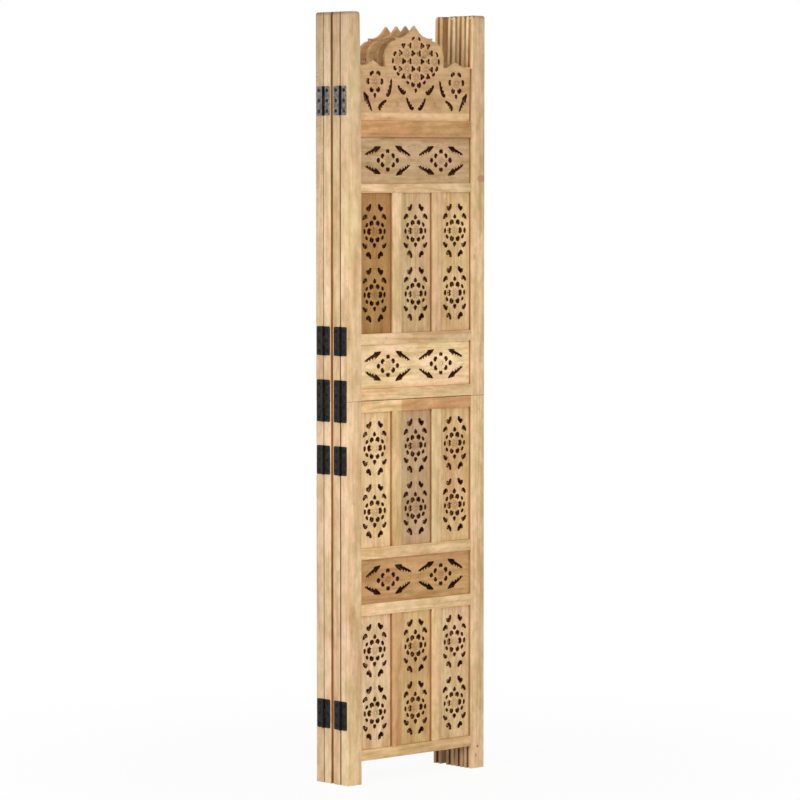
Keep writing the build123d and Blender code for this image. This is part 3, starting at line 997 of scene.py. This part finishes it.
TIMBER_ARRIS = 0.7 * MM
DARKEST_SHADE_REACH = 5.5 * MM  # how far from a timber's middle plane the painted shade on its sides is darkest
GROOVE_HALF = 3.6 * MM
GROOVE_REACH = 167 * MM  # how far from the panel's middle the grooves of its stiles are cut
SECTION_JOINT = 0.823
LEG_TOP = 0.05
STILE_TOP = 1.65
TONE_TURN = 1.2  # the stiles darken from here to their tops
TOP_TONE = 0.72
TIP_FOOT = 1.643  # the ends of the horns are darker above here
TIP_TONE = 0.7
EDGE_TINT = (0.96, 0.99, 1.08)  # the outer edges of the stiles are paler
HORN_FOOT = 1.535  # the crest's shoulder hides the stile's inner edge below here
HORN_PAINTED_LIGHT = (1.15, 1.13, 1.10)  # painted light: the inner edges of the horns are made paler as if lit
REAR_HORN_PAINTED_SHADE = (1.0, 0.80, 0.60)  # painted warm shade on the fronts of the rearmost horns
HORN_EASE = 6.5 * MM
HORN_LIP = 6 * MM
HORN_GROOVE_SHADE_SHARE = 0.85  # how much of the grooves' painted shade a groove gets in a horn
# How far from the middle the fronts of the rear panels get the painted shade of the gaps between the panels,
# towards their left edges
GAP_SHADE_FROM = {"panel_1": 1.0, "panel_2": 0.1955, "panel_3": 0.192, "panel_4": 0.197}
GAP_PAINTED_SHADES = {"panel_2": (0.36, 0.22, 0.14), "panel_3": (0.58, 0.36, 0.20), "panel_4": (0.36, 0.22, 0.14)}
HIGH_GAP_PAINTED_SHADE = GAP_PAINTED_SHADES["panel_2"]
HEARTWOOD_FROM = -0.045  # the front panel's lower joint rail is redder to the right of here
SAPWOOD_SHADE = (1.17, 1.40, 1.62)


def finished(obj, node, body):
    """A piece, made as in the closed stack, that stands for its CAD node and moves with its body."""
    obj.data.transform(STANCES[body])
    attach(obj, body)
    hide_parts(node)


def planed(solid):
    """Rounds a timber's edges slightly."""
    edges = [e for e in solid.edges if len(e.link_faces) == 2 and e.calc_face_angle(0) > SHARP_TIMBER]
    rounded(solid, edges, TIMBER_ARRIS, clamp_overlap=True)
    bmesh.ops.recalc_face_normals(solid, faces=solid.faces)


def eased_horn(solid):
    """Rounds the inner top corner of an upper stile."""
    low, high = box_of(solid)
    if high.z < HORN_FOOT:
        return
    inner = min(abs(low.x), abs(high.x))
    corners = [e for e in solid.edges if min(v.co.z for v in e.verts) > high.z - HAIR]
    along = [e for e in corners if abs(e.verts[0].co.x - e.verts[1].co.x) < HAIR]
    rounded(solid, [e for e in along if abs(abs(e.verts[0].co.x) - inner) < HORN_LIP], HORN_EASE, 4)


def cut_at_tones(solid, body, middle):
    """Cuts a timber's faces wherever its tone turns."""
    cuts = [((0, middle + side * DARKEST_SHADE_REACH, 0), (0, 1, 0)) for side in (-1, 1)]
    cuts += [((0, 0, level), (0, 0, 1)) for level in (LEG_TOP, TONE_TURN, HORN_FOOT, TIP_FOOT)]
    cuts += [((across, 0, 0), (1, 0, 0)) for across in (-GAP_SHADE_FROM[body], HEARTWOOD_FROM)]
    for point, normal in cuts:
        geometry = solid.verts[:] + solid.edges[:] + solid.faces[:]
        bmesh.ops.bisect_plane(solid, geom=geometry, plane_co=point, plane_no=normal)


def looks_inward(face):
    """Whether a face looks straight across towards the panel's middle."""
    across = face.calc_center_median().x
    return face.normal.x * across < -SQUARELY * abs(across)


def no_painted_shade(face, middle):
    """Nothing in the shade."""
    return 0.0


def muntin_painted_shade(face, middle):
    """Painted shade on the sides of a muntin, which look onto the boards."""
    return 1.0 if abs(face.normal.x) > SQUARELY else 0.0


def stile_painted_shade(face, middle):
    """Painted shade on the inner edge of a stile up to its horn, and in the groove, where it is lighter in the
    horn.
    """
    spot = face.calc_center_median()
    if abs(spot.y - middle) < GROOVE_HALF and abs(face.normal.z) < 0.5 and abs(spot.x) < GROOVE_REACH:
        return HORN_GROOVE_SHADE_SHARE if spot.z > HORN_FOOT else 1.0
    return 1.0 if LEG_TOP < spot.z < HORN_FOOT and looks_inward(face) else 0.0


def corner_light(face, corner, body, slot, hidden, two_toned):
    """How light a timber is painted at one corner of a face, its painted light and shade included; hidden is
    how far it lies in the painted shade.
    """
    spot, level = face.calc_center_median(), corner.z
    light = [1 - hidden * (1 - dim) for dim in RECESS_PAINTED_SHADE]
    if slot == "stile_wood":
        # painted light on the inner edges of the horns
        if spot.z > HORN_FOOT and looks_inward(face):
            light = tinted(light, HORN_PAINTED_LIGHT)
        else:
            fade = 1 - (1 - TOP_TONE) * max(0.0, level - TONE_TURN) / (STILE_TOP - TONE_TURN)
            fade *= TIP_TONE if level > TIP_FOOT + HAIR else 1.0
            light = [fade * part for part in light]
        if face.normal.x * spot.x > SQUARELY * abs(spot.x):
            light = tinted(light, EDGE_TINT)
    if two_toned and spot.x < HEARTWOOD_FROM:
        light = tinted(light, SAPWOOD_SHADE)
    if abs(spot.z - SECTION_JOINT) < TIMBER_ARRIS:
        light = SEAM_SHADE
    # painted shade on the rear panels' fronts near their left edges, in the gaps between panels; on the third
    # panel darker higher up
    if face.normal.y < -SQUARELY and spot.x < -GAP_SHADE_FROM[body]:
        share = clamped((level - TONE_TURN) / (HORN_FOOT - TONE_TURN))
        light = [low + (high - low) * share for low, high in zip(GAP_PAINTED_SHADES[body], HIGH_GAP_PAINTED_SHADE)]
    # painted warm shade on the fronts of the rearmost horns
    if body == "panel_4" and face.normal.y < -SQUARELY and spot.z > HORN_FOOT:
        light = tinted(light, REAR_HORN_PAINTED_SHADE)
    return light


def gathered(node, body, slot, axis, shades, seed, ending, dressed):
    """One piece from the timbers of a CAD node: dressed shapes and shades them, each has its own grain."""
    dice = random.Random(seed)
    yard = Timberyard()
    for number, solid in enumerate(solids_of(node, body)):
        corners, faces, shaded = dressed(solid, shades[number % len(shades)], dice)
        yard.add(corners, faces, grain_of(axis, corners, plank_place(dice)), shaded)
        solid.free()
    finished(yard.piece(f"{node}_{ending}", WOODS[slot]), node, body)


def timbers(node, body, slot, axis, shades, painted_shade_of, seed, rough=False):
    """The timbers of one CAD node, planed."""

    def dressed(solid, colour, dice):
        if slot == "stile_wood":
            eased_horn(solid)
        planed(solid)
        low, high = box_of(solid)
        middle, half = (low.y + high.y) / 2, (high.y - low.y) / 2
        cut_at_tones(solid, body, middle)
        two_toned = body == "panel_1" and slot == "rail_wood" and abs(high.z - SECTION_JOINT) < 1 * MM
        corners, faces = faces_and_corners(solid)
        shaded = []
        for face in solid.faces:
            row = []
            for corner in [vert.co for vert in face.verts]:
                depth = max(0.0, (abs(corner.y - middle) - DARKEST_SHADE_REACH) / (half - DARKEST_SHADE_REACH))
                # painted shade on the frame's sides and grooves, darkest nearest the middle plane
                hidden = painted_shade_of(face, middle) * (1 - depth ** 2)
                light = corner_light(face, corner, body, slot, hidden, two_toned)
                unplaned = rough and face.normal.x < -SQUARELY
                smooth = max(0.0, high.z - corner.z) / (high.z - low.z) if unplaned else 1.0
                row.append((*tinted(light, colour), smooth))
            shaded.append(row)
        return corners, faces, shaded

    gathered(node, body, slot, axis, shades, seed, "planed", dressed)


# ---- Carved boards ----

BASE_SHADE_RISE = 2.0 * MM  # how high the raised carving rises before its painted shade is gone and it has the full colour of its board
OPENING_HALF = 161 * MM


def upright_centre(low, high):
    """The middle of what shows of an upright board, clear of its tongue in the stile."""
    return (max(low.x, -OPENING_HALF) + min(high.x, OPENING_HALF)) / 2


def marks_outline(solid, low, high, slot):
    """A board's outline about the point that its marks are measured from."""
    centre = (low + high) / 2
    if slot == "crest_wood":
        centre.x, centre.z = 0.0, low.z
        return [(x, z - low.z) for x, z in front_outline(solid)], centre
    if slot == "jali_wood":
        centre.x = upright_centre(low, high)
    left, right, half = low.x - centre.x, high.x - centre.x, (high.z - low.z) / 2
    return [(left, -half), (right, -half), (right, half), (left, half)], centre


def upright_marks(high):
    """Two rosettes, one above the other."""
    aside = UPRIGHT_SHIFT if high.x > LEFT_BOARD_END else 0.0
    return shifted(UPRIGHT_MOTIF, aside, UPRIGHT_PITCH / 2) + shifted(UPRIGHT_MOTIF, aside, -UPRIGHT_PITCH / 2)


def cross_marks(high):
    """Two diamonds side by side."""
    return shifted(CROSS_MOTIF, CROSS_OFFSET, 0) + shifted(CROSS_MOTIF, -CROSS_OFFSET, 0)


def crest_marks(high):
    """The crest's lattice, rosettes and leaves."""
    return shifted(CREST_MARKS, CREST_SHIFT, 0)


def nearest_on(spot, a, b):
    """The point of a line from a to b that is nearest to a spot."""
    run = b - a
    return a + clamped((spot - a).dot(run) / run.length_squared) * run


def is_wall(ends, sides, centre, half):
    """Whether a face, by its corners, is a wall of a piercing and not of the board's outer edge."""
    depths = [end.y for end in ends]
    if max(depths) - min(depths) <= 3 * HOLE_CHAMFER or max(abs(y - centre.y) for y in depths) >= half:
        return False
    spot = Vector((ends[0].x - centre.x, ends[0].z - centre.z))
    return all((spot - nearest_on(spot, a, b)).length > 1.5 * HOLE_CHAMFER for a, b in sides)


def boards(node, body, slot, axis, shades, marks_for, seed):
    """The pierced boards of one CAD node."""

    def dressed(solid, colour, dice):
        low, high = box_of(solid)
        half = (high.y - low.y) / 2
        outline, centre = marks_outline(solid, low, high, slot)
        sides = [(Vector(a), Vector(b)) for a, b in zip(outline, outline[1:] + outline[:1])]
        corners, faces = pierced(hand_cut(marks_for(high), dice), outline, high.y - low.y, WOODS[slot])
        corners = stood_up(corners, centre)
        # painted shade at the base of the raised carving, fading as it rises
        hollow = tinted(colour, RELIEF_BASE_PAINTED_SHADE)
        shaded = []
        for face in faces:
            ends = [corners[i] for i in face]
            rises = [clamped((abs(end.y - centre.y) - half) / BASE_SHADE_RISE) for end in ends]
            # painted shade on the walls of the piercings
            if is_wall(ends, sides, centre, half):
                shaded.append([tinted(colour, PIERCING_PAINTED_SHADE)] * len(face))
            elif max(rises) > 0.05:
                shaded.append([tuple(h + (c - h) * rise for h, c in zip(hollow, colour)) for rise in rises])
            else:
                shaded.append([colour] * len(face))
        return corners, faces, shaded

    gathered(node, body, slot, axis, shades, seed, "carved", dressed)


# ---- Panels ----

# Shades of the front panel's timbers, lowest first, and of the boards, row by row from the left
FRONT_RAILS = {"upper": ["pale", "straw", "straw", "russet"], "lower": ["honey", "pale", "pale", "amber"]}
FRONT_MUNTINS = ["rosy", "blush", "honey", "straw", "straw", "fawn"]
FRONT_BOARDS = ["cream", "olive", "straw", "pale", "ashen", "honey", "toast", "dun", "sage"]
FRONT_CROSS = ["tan", "ivory", "ashen"]
# Shades that the other panels' timbers and boards are drawn from; the darker ones, for their boards, are partly
# painted shade for boards seen through the front panel's piercings
COMMON = ["straw", "cream", "honey", "blush", "straw", "sage", "ashen", "straw", "tan"]
DARK = ["tan", "rosy", "toast", "tan", "ashen", "russet"]
# The panels' stiles and crests, front to back; the crests' tones are partly painted light and shade, lighter
# for the two rearmost and darker for the second, where they show beside the front crest
STILE_TONES = [(1.02, 1.02, 1.02), (0.90, 0.87, 0.82), (1.02, 1.03, 1.06), (0.87, 0.86, 0.86)]
CREST_TONES_AND_PAINTED_LIGHT = [(0.86, 0.80, 0.74), (0.78, 0.66, 0.53), (1.10, 1.02, 0.92), (1.14, 1.06, 0.96)]


def panel(number):
    """All the dressed timbers and boards of one panel."""
    body = f"panel_{number}"
    dice = random.Random(100 + number)

    def chosen(front_names, names):
        """The front panel's own shades, or as many drawn at random."""
        if number == 1:
            return [shade(name) for name in front_names]
        return [shade(dice.choice(names), dice.uniform(0.93, 1.03)) for name in front_names]

    def seed():
        return dice.randrange(10**6)

    tone = [STILE_TONES[number - 1]]
    for level in ("upper", "lower"):
        for side in ("left", "right"):
            rough = number == 4 and level == "upper" and side == "left"
            timbers(f"{body}_{level}_{side}_stile", body, "stile_wood", "z", tone, stile_painted_shade, seed(), rough)
        rails = chosen(FRONT_RAILS[level], COMMON)
        timbers(f"{body}_{level}_rails", body, "rail_wood", "x", rails, no_painted_shade, seed())
    muntins = chosen(FRONT_MUNTINS, COMMON)
    timbers(f"{body}_muntins", body, "muntin_wood", "z", muntins, muntin_painted_shade, seed())
    uprights = chosen(FRONT_BOARDS, DARK)
    boards(f"{body}_upright_jalis", body, "jali_wood", "z", uprights, upright_marks, seed())
    crossed = chosen(FRONT_CROSS, DARK)
    boards(f"{body}_cross_jalis", body, "cross_jali_wood", "x", crossed, cross_marks, seed())
    boards(f"{body}_crest", body, "crest_wood", "x", [CREST_TONES_AND_PAINTED_LIGHT[number - 1]], crest_marks, seed())
    tenons = frame["nodes"][f"{body}_section_tenons"]
    tenons.data.materials.clear()
    tenons.data.materials.append(tenon_wood)


for panel_number in PANELS:
    panel(panel_number)


# ---- Hinges ----

LEAF_CORNER_RADIUS = 3.2 * MM
LEAF_CORNER_STEPS = 5
STEEL_EASE = 0.25 * MM
PLATE_THICKNESS = 1.4 * MM
LONG_LEAF = 75 * MM  # leaves longer than this have four screws, the others three
KNUCKLE_RADIUS = 2.9 * MM
KNUCKLE_AROUND = 20
KNUCKLE_PLAY = 0.3 * MM
NECK_BACK = 0.4 * MM  # how far the neck of a knuckle stops short of its middle
NECK_LAP = 0.3 * MM  # and laps over its leaf
PIN_RADIUS = 1.45 * MM
SHADOW_STRIP_WIDTH = 2.8 * MM  # a strip on a front leaf next to its knuckles that carries the knuckles' painted shadow
SHADOW_STRIP_CORNER_RADIUS = 0.3 * MM
SHADOW_STRIP_THICKNESS = 1.45 * MM
PIN_EASE = 0.35 * MM
PIN_AROUND = 12
KNUCKLE_PAINTED_SHADOW = (0.35, 0.35, 0.35)  # painted shadow on the front of the knuckles, on their necks and on the strip beside them
TOP_HINGE_PAINTED_SHEEN = (7.4, 7.5, 7.4)  # painted sheen that lightens the top hinges as if they caught the light
PAINTED_SHEEN_ABOVE = 1.4
SCREW_SHADE = (0.5, 0.5, 0.5)
SCREW_RADIUS = 3.9 * MM
SCREW_INSET = 7.4 * MM  # from the free edge of a leaf to its line of screws
SCREW_END = 9 * MM  # from the end of a leaf to its first screw


def extruded(outline, depth):
    """A flat outline in (y, z) given depth along +X, its edges eased."""
    solid = bmesh.new()
    face = solid.faces.new([solid.verts.new((0.0, y, z)) for y, z in outline])
    grown = bmesh.ops.extrude_face_region(solid, geom=[face])["geom"]
    bmesh.ops.translate(solid, vec=(depth, 0, 0), verts=[g for g in grown if isinstance(g, bmesh.types.BMVert)])
    bmesh.ops.recalc_face_normals(solid, faces=solid.faces)
    rounded(solid, [e for e in solid.edges if e.calc_face_angle(0) > SHARP_STEEL], STEEL_EASE)
    corners, faces = faces_and_corners(solid)
    solid.free()
    return corners, faces


def rounded_plate(width, height, radius):
    """A plate's outline from its knuckle edge at y 0 to its free edge, whose corners are round."""
    half = height / 2
    outline = [(0.0, -half)]
    for turn_start, y, z in ((-90, width - radius, -half + radius), (0, width - radius, half - radius)):
        for step in range(LEAF_CORNER_STEPS + 1):
            turn = math.radians(turn_start + 90 / LEAF_CORNER_STEPS * step)
            outline.append((y + radius * math.cos(turn), z + radius * math.sin(turn)))
    return outline + [(0.0, half)]


def screw_maker():
    """A screw head on every point of a layout."""
    maker = Maker("Hinge screws", {"Places": "Geometry", "Screw": "Object", "Steel": "Material"})
    t, given = maker.tree, maker.given
    turned = t.out("FunctionNodeEulerToRotation", Euler=t.attribute("turn", "FLOAT_VECTOR"))
    screw = t.node("GeometryNodeObjectInfo", Object=given["Screw"])["Geometry"]
    size = (SCREW_RADIUS, SCREW_RADIUS, SCREW_RADIUS)
    placed = t.geometry("InstanceOnPoints", Points=given["Places"], Instance=screw, Rotation=turned, Scale=size)
    maker.end(placed, given["Steel"])
    return maker


def screw_head():
    """A flat screw head of radius 1 on Z 0 with a slot across it, its rim sloping into the leaf."""
    around = 16
    slot_half, deep, crown, crown_reach = 0.14, 0.22, 0.16, 0.82
    solid = bmesh.new()
    levels = ((1.04, -0.10), (1.0, 0.06), (crown_reach, crown))
    rings = [[solid.verts.new(p) for p in ring(reach, z, around, start=0.5)] for reach, z in levels]
    for low, high in zip(rings, rings[1:]):
        for i in range(around):
            n = (i + 1) % around
            solid.faces.new([low[i], low[n], high[n], high[i]])
    solid.faces.new(rings[0][::-1])

    # The crown in two halves, from +X round to -X and back, with the slot's four walls and its floor between
    far, near = rings[-1][: around // 2], rings[-1][around // 2 :]
    edge = crown_reach * math.cos(math.pi / around)
    ends = ((edge, slot_half), (-edge, slot_half), (-edge, -slot_half), (edge, -slot_half))
    lip, base = ([solid.verts.new((x, y, z)) for x, y in ends] for z in (crown, crown - deep))
    for corners in (
        [*far, lip[1], lip[0]],
        [*near, lip[3], lip[2]],
        [lip[0], lip[1], base[1], base[0]],
        [lip[2], lip[3], base[3], base[2]],
        base,
        [far[0], lip[0], base[0], base[3], lip[3], near[-1]],
        [near[0], lip[2], base[2], base[1], lip[1], far[-1]],
    ):
        solid.faces.new(corners)
    bmesh.ops.recalc_face_normals(solid, faces=solid.faces)
    mesh = bpy.data.meshes.new("screw_head")
    solid.to_mesh(mesh)
    solid.free()
    return bpy.data.objects.new("screw_head", mesh)


SCREW_MAKER = screw_maker()
one_screw = screw_head()
screw_places = {f"panel_{number}": [] for number in PANELS}


def leaves(node, body, axis):
    """The rolled leaves of one fold line that ride on one panel."""
    yard = Timberyard()
    side = 1 if axis.x > 0 else -1
    start = KNUCKLE_RADIUS + KNUCKLE_PLAY
    wood_face = axis.x - side * start
    for solid in solids_of(node, body):
        low, high = box_of(solid)
        direction = 1 if (low.y + high.y) / 2 > axis.y else -1
        far = high.y if direction > 0 else low.y
        height, mid_z = high.z - low.z, (high.z + low.z) / 2

        def put(shape, tone, slid=0.0, lifted=0.0):
            """Lays a shape that is drawn from the leaf's knuckle edge in its place on the stile."""
            origin = Vector((wood_face, axis.y + direction * (start + slid), mid_z + lifted))
            corners = [origin + Vector((side * p.x, direction * p.y, p.z)) for p in shape[0]]
            faces = shape[1] if side * direction > 0 else [face[::-1] for face in shape[1]]
            yard.add_steel(corners, faces, [tone] * len(faces))

        # the top hinges get a painted sheen
        plate_shade = TOP_HINGE_PAINTED_SHEEN if mid_z > PAINTED_SHEEN_ABOVE else WHITE
        width = abs(far - axis.y) - start
        put(extruded(rounded_plate(width, height, LEAF_CORNER_RADIUS), PLATE_THICKNESS), plate_shade)
        # a dark strip of painted shadow beside the knuckles
        if direction < 0:
            lip = extruded(rounded_plate(SHADOW_STRIP_WIDTH, height, SHADOW_STRIP_CORNER_RADIUS), SHADOW_STRIP_THICKNESS)
            put(lip, KNUCKLE_PAINTED_SHADOW, slid=-STEEL_EASE)
        pitch = height / 3
        for knuckle in (0, 2) if node.endswith("front_leaves") else (1,):
            bottom = low.z + knuckle * pitch + KNUCKLE_PLAY / 2
            top = bottom + pitch - KNUCKLE_PLAY
            corners, faces = barrel(KNUCKLE_RADIUS, bottom, top, STEEL_EASE, KNUCKLE_AROUND)
            # the front of each knuckle gets painted shadow, its back the leaf's shade
            dark = [min(corners[i].y for i in face) < -0.5 * KNUCKLE_RADIUS for face in faces]
            tones = [KNUCKLE_PAINTED_SHADOW if front else plate_shade for front in dark]
            yard.add_steel([p + Vector((axis.x, axis.y, 0)) for p in corners], faces, tones)
            half = (top - bottom) / 2 - HAIR
            back, fore = NECK_BACK - start, NECK_LAP
            neck = extruded([(back, -half), (fore, -half), (fore, half), (back, half)], PLATE_THICKNESS)
            put(neck, KNUCKLE_PAINTED_SHADOW, lifted=(bottom + top) / 2 - mid_z)
        count = 4 if height > LONG_LEAF else 3
        for i in range(count):
            z = low.z + SCREW_END + (height - 2 * SCREW_END) * i / (count - 1)
            place = Vector((wood_face + side * PLATE_THICKNESS, far - direction * SCREW_INSET, z))
            screw_places[body].append((place, side))
        solid.free()
    finished(yard.piece(f"{node}_rolled", hinge_steel), node, body)


def pins(node, body, axis):
    """The hinge pins of one fold line, their ends eased."""
    yard = Timberyard()
    for solid in solids_of(node, body):
        low, high = box_of(solid)
        corners, faces = barrel(PIN_RADIUS, low.z, high.z, PIN_EASE, PIN_AROUND)
        yard.add_steel([p + Vector((axis.x, axis.y, 0)) for p in corners], faces, [WHITE] * len(faces))
        solid.free()
    finished(yard.piece(f"{node}_turned", pin_steel), node, body)


for joint in frame["joints"]:
    front_body, rear_body = joint["parent"], joint["child"]
    line = STANCES[front_body].inverted() @ Vector(joint["pos_m"])
    leaves(f"{joint['name']}_front_leaves", front_body, line)
    leaves(f"{joint['name']}_rear_leaves", rear_body, line)
    pins(f"{joint['name']}_pins", front_body, line)


def screws(body, places):
    """Every hinge screw of one panel."""
    dice = random.Random(sum(map(ord, body)))
    layout = point_mesh("screw_places", [place for place, side in places])
    turns = []
    for place, side in places:
        facing = Matrix.Rotation(side * math.pi / 2, 3, "Y")
        turns += (facing @ Matrix.Rotation(dice.uniform(0, math.pi), 3, "Z")).to_euler()
    store(layout, "turn", "FLOAT_VECTOR", turns)
    heads = SCREW_MAKER.run(layout, Screw=one_screw, Steel=screw_steel)
    store(heads, "shade", "FLOAT_COLOR", [*SCREW_SHADE, 1.0] * len(heads.loops), "CORNER")
    heads.name = f"{body}_hinge_screws"
    heads.transform(STANCES[body])
    obj = in_scene(f"{body}_hinge_screws", heads)
    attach(obj, body)


for screw_body, screw_list in screw_places.items():
    screws(screw_body, screw_list)


# ---- Studio ----

FLOOR_REACH = 30.0
FLOOR_WHITE = 0.94  # how white the floor is to the eye close to the screen; wholly white farther off
AMBIENT = 0.33


def seen_directly(t):
    """1 for what the camera sees, also in a mirror or through glass, and 0 for the light's own paths."""
    path = t.node("ShaderNodeLightPath")
    seen = t.maths("MAXIMUM", path["Is Camera Ray"], path["Is Glossy Ray"])
    return t.maths("MAXIMUM", seen, path["Is Transmission Ray"])


def floor():
    """A wide pale floor that fades to white and keeps the screen's shadow."""
    ends = [(-1, -1), (1, -1), (1, 1), (-1, 1)]
    mesh = point_mesh("studio_floor", [(x * FLOOR_REACH, y * FLOOR_REACH, 0) for x, y in ends], [(0, 1, 2, 3)])
    material = bpy.data.materials.new("pale_floor")
    t = shader_tree(material)
    matt = t.out("ShaderNodeBsdfDiffuse", Color=(0.9, 0.9, 0.9))
    white = t.out("ShaderNodeEmission", Color=WHITE, Strength=1.0)
    away = t.vector_maths("LENGTH", Vector=t.object_place())
    share = t.plus(t.times(t.ramp(away, 0.3, 1.6), 1.0 - FLOOR_WHITE), FLOOR_WHITE)
    share = t.times(seen_directly(t), share)
    surface = t.out("ShaderNodeMixShader", Fac=share, Shader=matt, Shader_001=white)
    t.node("ShaderNodeOutputMaterial", Surface=surface)
    mesh.materials.append(material)
    obj = in_scene("studio_floor", mesh)


def studio_world():
    """Even soft light all round, white to the eye."""
    world = bpy.data.worlds.new("studio")
    t = shader_tree(world)
    strength = t.plus(t.times(seen_directly(t), 1.0 - AMBIENT), AMBIENT)
    t.node("ShaderNodeOutputWorld", Surface=t.out("ShaderNodeBackground", Color=WHITE, Strength=strength))
    bpy.context.scene.world = world


def aimed_at(obj, place, aim):
    """Puts a lamp or a camera in its place, aimed at a point."""
    obj.location = place
    obj.rotation_euler = (Vector(aim) - Vector(place)).to_track_quat("-Z", "Y").to_euler()


def softbox(name, place, height, size, power):
    """A square area lamp aimed at a height on the screen."""
    lamp = bpy.data.lights.new(name, "AREA")
    lamp.shape = "SQUARE"
    lamp.size = size
    lamp.energy = power
    aimed_at(in_scene(name, lamp), place, (0, 0, height))


floor()
studio_world()
softbox("front_softbox", (-0.4, -6.8, 1.0), 0.8, 2.6, 105)
softbox("edge_softbox", (-6.4, -0.3, 2.0), 0.8, 2.2, 155)
softbox("high_softbox", (-1.8, -2.4, 5.2), 1.0, 2.4, 40)
softbox("left_softbox", (-4.4, -4.6, 3.2), 1.0, 1.8, 130)

# ---- Camera ----

lens = bpy.data.cameras.new("camera")
lens.sensor_width = 36.0
lens.lens = 172.35
camera = in_scene("camera", lens)
aimed_at(camera, (-5.5945, -6.1264, 1.3237), (-0.0044, -0.0102, 0.8172))
bpy.context.scene.camera = camera

bpy.context.scene.view_settings.view_transform = "Standard"
